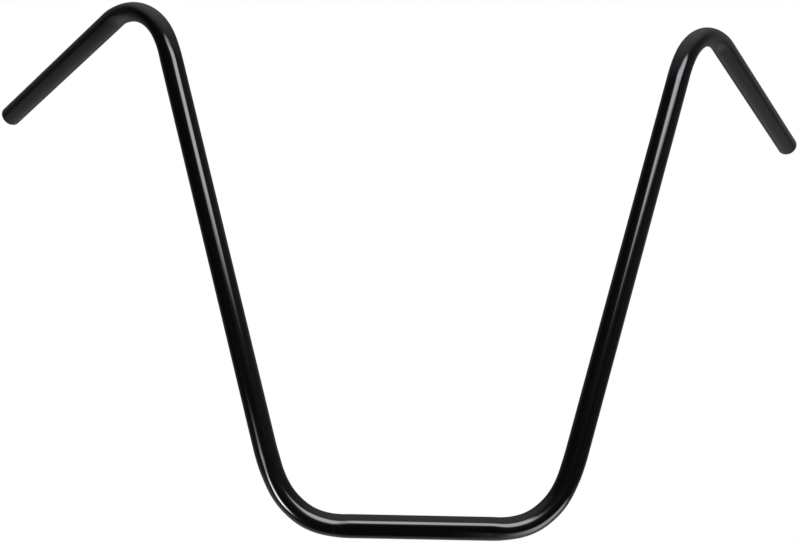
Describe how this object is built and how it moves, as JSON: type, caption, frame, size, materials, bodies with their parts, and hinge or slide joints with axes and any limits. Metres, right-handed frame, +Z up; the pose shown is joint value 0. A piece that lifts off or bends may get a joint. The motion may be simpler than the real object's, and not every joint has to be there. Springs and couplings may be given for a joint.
{
  "type": "ape hanger handlebar",
  "caption": "Tall U-shaped handlebar of bent round tube: straight clamping section, high risers leaning outwards, and grips swept back and slightly down.",
  "frame": {"origin": "on the tube's centreline, in the middle of the straight clamping section", "axes": "+X along the clamping section towards the right grip; +Z up between the risers, in their plane; +Y back towards the rider"},
  "size_m": [0.9204, 0.2769, 0.5317],
  "materials": {
    "black_paint": "gloss black paint on steel tube"
  },
  "bodies": {
    "root": {"handlebar": "black_paint"}
  },
  "joints": []
}
